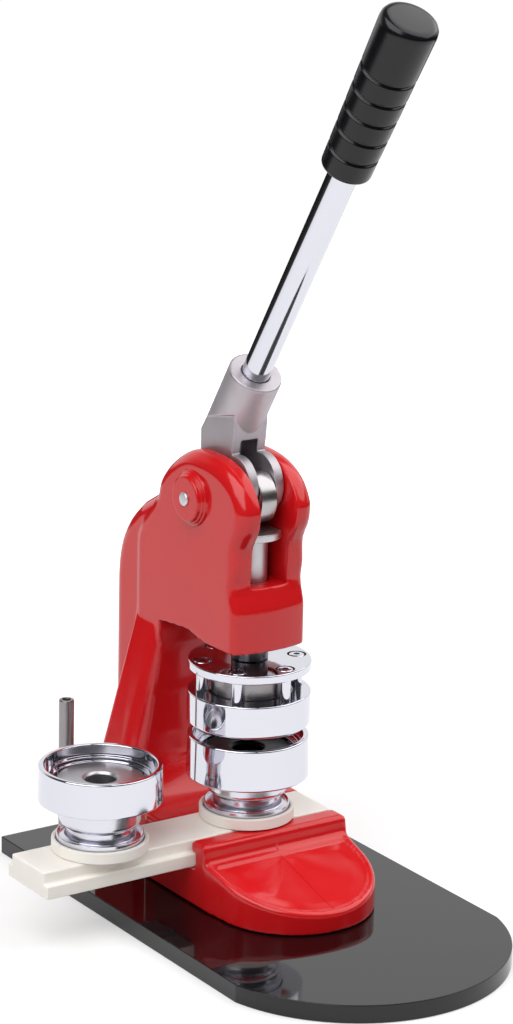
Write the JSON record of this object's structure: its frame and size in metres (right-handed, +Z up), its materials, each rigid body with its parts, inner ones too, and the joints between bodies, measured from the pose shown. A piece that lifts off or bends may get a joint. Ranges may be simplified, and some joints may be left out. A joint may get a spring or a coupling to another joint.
{
  "type": "button badge press",
  "caption": "Hand lever press for button badges: slotted red frame, roller-driven ram, floating upper die and lower dies on a sliding bar.",
  "frame": {"origin": "underside of the base plate, straight below the ram axis", "axes": "+Z up along the ram, -Y to the front where the user stands, +X to the user's right"},
  "size_m": [0.1766, 0.2416, 0.3984],
  "materials": {
    "red_paint": "gloss red paint",
    "black_acrylic": "polished black",
    "nylon": "off-white, satin",
    "chrome": "mirror plated",
    "steel": "bright turned",
    "cast_fork": "satin cast",
    "grip_plastic": "black, satin"
  },
  "bodies": {
    "frame": {"base_plate": "black_acrylic", "frame_casting": "red_paint", "pivot_pin": "steel", "ram_bush": "steel", "slide_stop_pin": "steel", "base_screw_1": "steel", "base_screw_2": "steel", "base_screw_3": "steel", "base_screw_4": "steel", "rear_post": "steel"},
    "lever": {"lever_fork": "cast_fork", "lever_rod": "chrome", "lever_grip": "grip_plastic", "roller_axle": "steel"},
    "roller": {"cam_roller": "steel"},
    "ram": {"ram_spindle": "steel", "ram_stop_ring": "steel", "return_spring": "steel", "die_plate": "chrome", "upper_punch": "chrome", "punch_screw": "steel"},
    "floating_ring": {"upper_ring": "chrome", "shoulder_screw_1": "chrome", "shoulder_screw_2": "chrome", "shoulder_screw_3": "chrome", "shoulder_screw_4": "chrome", "shoulder_screw_5": "chrome", "shoulder_screw_6": "chrome"},
    "slide": {"slide_bar": "nylon", "left_die_seat": "nylon", "left_die_stem": "chrome", "left_die_ring": "chrome", "left_die_screw": "steel", "left_die_spring": "steel", "right_die_seat": "nylon", "right_die_stem": "chrome", "right_die_ring": "chrome", "right_die_screw": "steel", "right_die_spring": "steel"},
    "left_anvil": {"left_die_anvil": "chrome"},
    "right_anvil": {"right_die_anvil": "chrome"}
  },
  "joints": [
    {"name": "lever_swing", "type": "hinge", "parent": "frame", "child": "lever", "pos_m": [0, 0.0184, 0.1776], "axis": [1, 0, 0], "range_deg": [0, 45]},
    {"name": "roller_spin", "type": "hinge", "parent": "lever", "child": "roller", "pos_m": [0, -0.0012, 0.1804], "axis": [1, 0, 0], "continuous": true},
    {"name": "ram_slide", "type": "slide", "parent": "frame", "child": "ram", "axis": [0, 0, -1], "range_m": [0, 0.01245], "stiffness_N_per_m": 4000, "springref_m": -0.012, "deforming": ["return_spring"]},
    {"name": "ring_float", "type": "slide", "parent": "ram", "child": "floating_ring", "axis": [0, 0, 1], "range_m": [0, 0.00815]},
    {"name": "slider_shift", "type": "slide", "parent": "frame", "child": "slide", "axis": [1, 0, 0], "range_m": [0, 0.0743]},
    {"name": "left_anvil_press", "type": "slide", "parent": "slide", "child": "left_anvil", "axis": [0, 0, -1], "range_m": [0, 0.002], "stiffness_N_per_m": 2000, "springref_m": -0.002, "deforming": ["left_die_spring"]},
    {"name": "right_anvil_press", "type": "slide", "parent": "slide", "child": "right_anvil", "axis": [0, 0, -1], "range_m": [0, 0.002], "stiffness_N_per_m": 2000, "springref_m": -0.002, "deforming": ["right_die_spring"]}
  ],
  "couplings": [
    {"joint": "ram_slide", "follows": "lever_swing", "m_per_rad": 0.0158},
    {"joint": "ring_float", "follows": "lever_swing", "m_per_rad": 0.0103}
  ]
}
